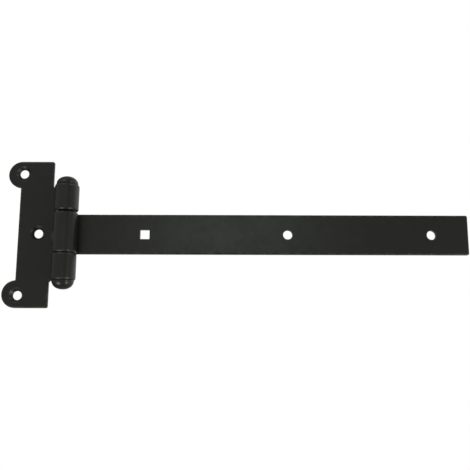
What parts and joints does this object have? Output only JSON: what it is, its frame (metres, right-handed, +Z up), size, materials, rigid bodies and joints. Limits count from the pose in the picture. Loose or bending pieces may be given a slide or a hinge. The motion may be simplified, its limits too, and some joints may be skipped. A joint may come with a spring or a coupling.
{
  "type": "t hinge",
  "caption": "T hinge with a long square-ended strap and an eared frame plate, both rolled round a riveted pin with domed heads.",
  "frame": {"origin": "on the flat back of the frame plate, at the plate's middle height and 30 mm to the side of the pin, where the plate bears on its post", "axes": "+X along the strap from the pin to its free end, +Z up along the pin, +Y into the post and the gate, square to the back faces"},
  "size_m": [0.3464, 0.0179, 0.111],
  "materials": {
    "plate_coat": "satin black coat over steel",
    "strap_coat": "satin black coat over steel",
    "pin_coat": "satin black coat over steel"
  },
  "bodies": {
    "plate": {"frame_plate": "plate_coat", "hinge_pin": "pin_coat"},
    "strap": {"strap": "strap_coat"}
  },
  "joints": [
    {"name": "strap_swing", "type": "hinge", "parent": "plate", "child": "strap", "pos_m": [0.03, -0.00895, 0], "axis": [0, 0, -1], "range_deg": [0, 180]}
  ]
}
